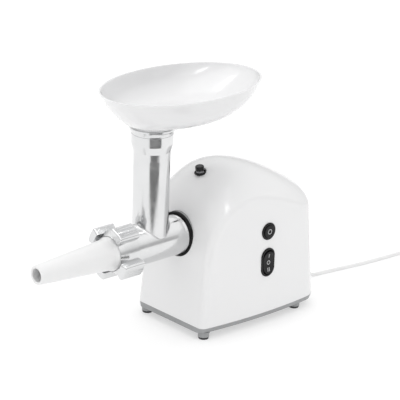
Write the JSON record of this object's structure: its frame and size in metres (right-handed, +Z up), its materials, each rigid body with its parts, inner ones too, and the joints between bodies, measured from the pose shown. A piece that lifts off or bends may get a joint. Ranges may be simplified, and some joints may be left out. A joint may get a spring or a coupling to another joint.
{
  "type": "electric meat grinder",
  "caption": "Countertop electric meat grinder: white motor housing, polished feed head with screw, oval tray, ring nut, sausage nozzle, switches, mains cord and plug.",
  "frame": {"origin": "on the surface that the grinder stands on, under the middle of its box without the cord", "axes": "+Z up; +Y from the nozzle towards the back of the housing, along the grinding head's axis; +X towards the side with the switches"},
  "size_m": [0.165, 0.7364, 0.327],
  "materials": {
    "body_white": "gloss",
    "base_grey": "satin",
    "pad_rubber": "matte",
    "zinc_steel": "satin",
    "gearbox_nylon": "matte",
    "sintered_bronze": "matte",
    "gear_nylon": "satin",
    "gear_steel": "satin",
    "laminated_steel": "matte",
    "copper_wire": "satin",
    "carbon": "matte",
    "seal_rubber": "satin",
    "polished_aluminium": "polished",
    "blade_steel": "polished",
    "nozzle_white": "satin",
    "tray_white": "gloss",
    "control_black": "gloss",
    "spring_steel": "satin",
    "switch_black": "matte",
    "board_green": "satin",
    "cord_white": "satin",
    "tie_white": "matte",
    "pin_nickel": "polished"
  },
  "bodies": {
    "housing": {"housing_shell": "body_white", "base_plate": "base_grey", "feet": "base_grey", "foot_pads": "pad_rubber", "base_screws": "zinc_steel", "gearbox_housing": "gearbox_nylon", "gearbox_cover": "gearbox_nylon", "gearbox_screws": "zinc_steel", "bushes": "sintered_bronze", "gear_pins": "zinc_steel", "motor_stator": "laminated_steel", "field_coils": "copper_wire", "rear_bracket": "zinc_steel", "motor_bolts": "zinc_steel", "motor_spacers": "zinc_steel", "brush_holders": "sintered_bronze", "carbon_brushes": "carbon", "head_socket": "base_grey", "socket_screws": "zinc_steel", "seal_ring": "seal_rubber", "button_bezel": "control_black", "button_spring": "spring_steel", "button_switch": "switch_black", "rocker_bezel": "control_black", "rocker_pin": "zinc_steel", "rocker_body": "switch_black", "circuit_board": "board_green", "board_parts": "switch_black", "release_bush": "control_black", "release_spring": "spring_steel", "strain_relief": "cord_white", "power_cord": "cord_white", "cord_coil": "cord_white", "cord_tail": "cord_white", "cord_tie": "tie_white", "plug": "cord_white", "plug_pins": "pin_nickel"},
    "head": {"head_casting": "polished_aluminium", "grinding_plate": "blade_steel"},
    "tray": {"tray": "tray_white"},
    "nozzle": {"sausage_nozzle": "nozzle_white"},
    "ring_nut": {"ring_nut": "polished_aluminium"},
    "output": {"auger": "polished_aluminium", "cross_blade": "blade_steel", "output_gear": "gear_steel", "output_shaft": "gear_steel"},
    "stage_one": {"stage_one_gears": "gear_nylon"},
    "stage_two": {"stage_two_gears": "gear_steel"},
    "rotor": {"rotor_shaft": "gear_steel", "armature": "laminated_steel", "armature_windings": "copper_wire", "commutator": "copper_wire", "cooling_fan": "gearbox_nylon"},
    "release_knob": {"release_knob": "control_black"},
    "push_button": {"push_button": "control_black"},
    "rocker_switch": {"rocker_switch": "control_black"}
  },
  "joints": [
    {"name": "head_turn", "type": "hinge", "parent": "housing", "child": "head", "pos_m": [0, 0.02, 0.1267], "axis": [0, 1, 0], "range_deg": [0, 45]},
    {"name": "tray_lift", "type": "slide", "parent": "head", "child": "tray", "axis": [0, 0, 1], "range_m": [0, 0.04]},
    {"name": "nozzle_slide", "type": "slide", "parent": "head", "child": "nozzle", "axis": [0, -1, 0], "range_m": [0, 0.012]},
    {"name": "nut_turn", "type": "hinge", "parent": "nozzle", "child": "ring_nut", "pos_m": [0, -0.085, 0.1267], "axis": [0, -1, 0], "range_deg": [0, 1440]},
    {"name": "rotor_spin", "type": "hinge", "parent": "housing", "child": "rotor", "pos_m": [0, 0.13, 0.062], "axis": [0, 1, 0], "continuous": true},
    {"name": "stage_one_spin", "type": "hinge", "parent": "housing", "child": "stage_one", "pos_m": [-0.02068, 0.07, 0.08268], "axis": [0, 1, 0], "continuous": true},
    {"name": "stage_two_spin", "type": "hinge", "parent": "housing", "child": "stage_two", "pos_m": [0.01678, 0.05, 0.08441], "axis": [0, 1, 0], "continuous": true},
    {"name": "output_spin", "type": "hinge", "parent": "housing", "child": "output", "pos_m": [0, 0.04, 0.1267], "axis": [0, 1, 0], "continuous": true},
    {"name": "release_press", "type": "slide", "parent": "housing", "child": "release_knob", "axis": [0, 0.1564, -0.9877], "range_m": [0, 0.003], "stiffness_N_per_m": 500, "springref_m": -0.002, "deforming": ["release_spring"]},
    {"name": "push_press", "type": "slide", "parent": "housing", "child": "push_button", "axis": [-1, 0, 0], "range_m": [0, 0.0018], "stiffness_N_per_m": 700, "springref_m": -0.001, "deforming": ["button_spring"]},
    {"name": "rocker_tilt", "type": "hinge", "parent": "housing", "child": "rocker_switch", "pos_m": [0.06506, 0.1103, 0.0855], "axis": [0, 1, 0], "range_deg": [-8, 8]}
  ],
  "couplings": [
    {"joint": "nozzle_slide", "follows": "nut_turn", "m_per_rad": 0.00047746},
    {"joint": "stage_one_spin", "follows": "rotor_spin", "ratio": -0.18182},
    {"joint": "stage_two_spin", "follows": "rotor_spin", "ratio": 0.045455},
    {"joint": "output_spin", "follows": "rotor_spin", "ratio": -0.015152}
  ]
}
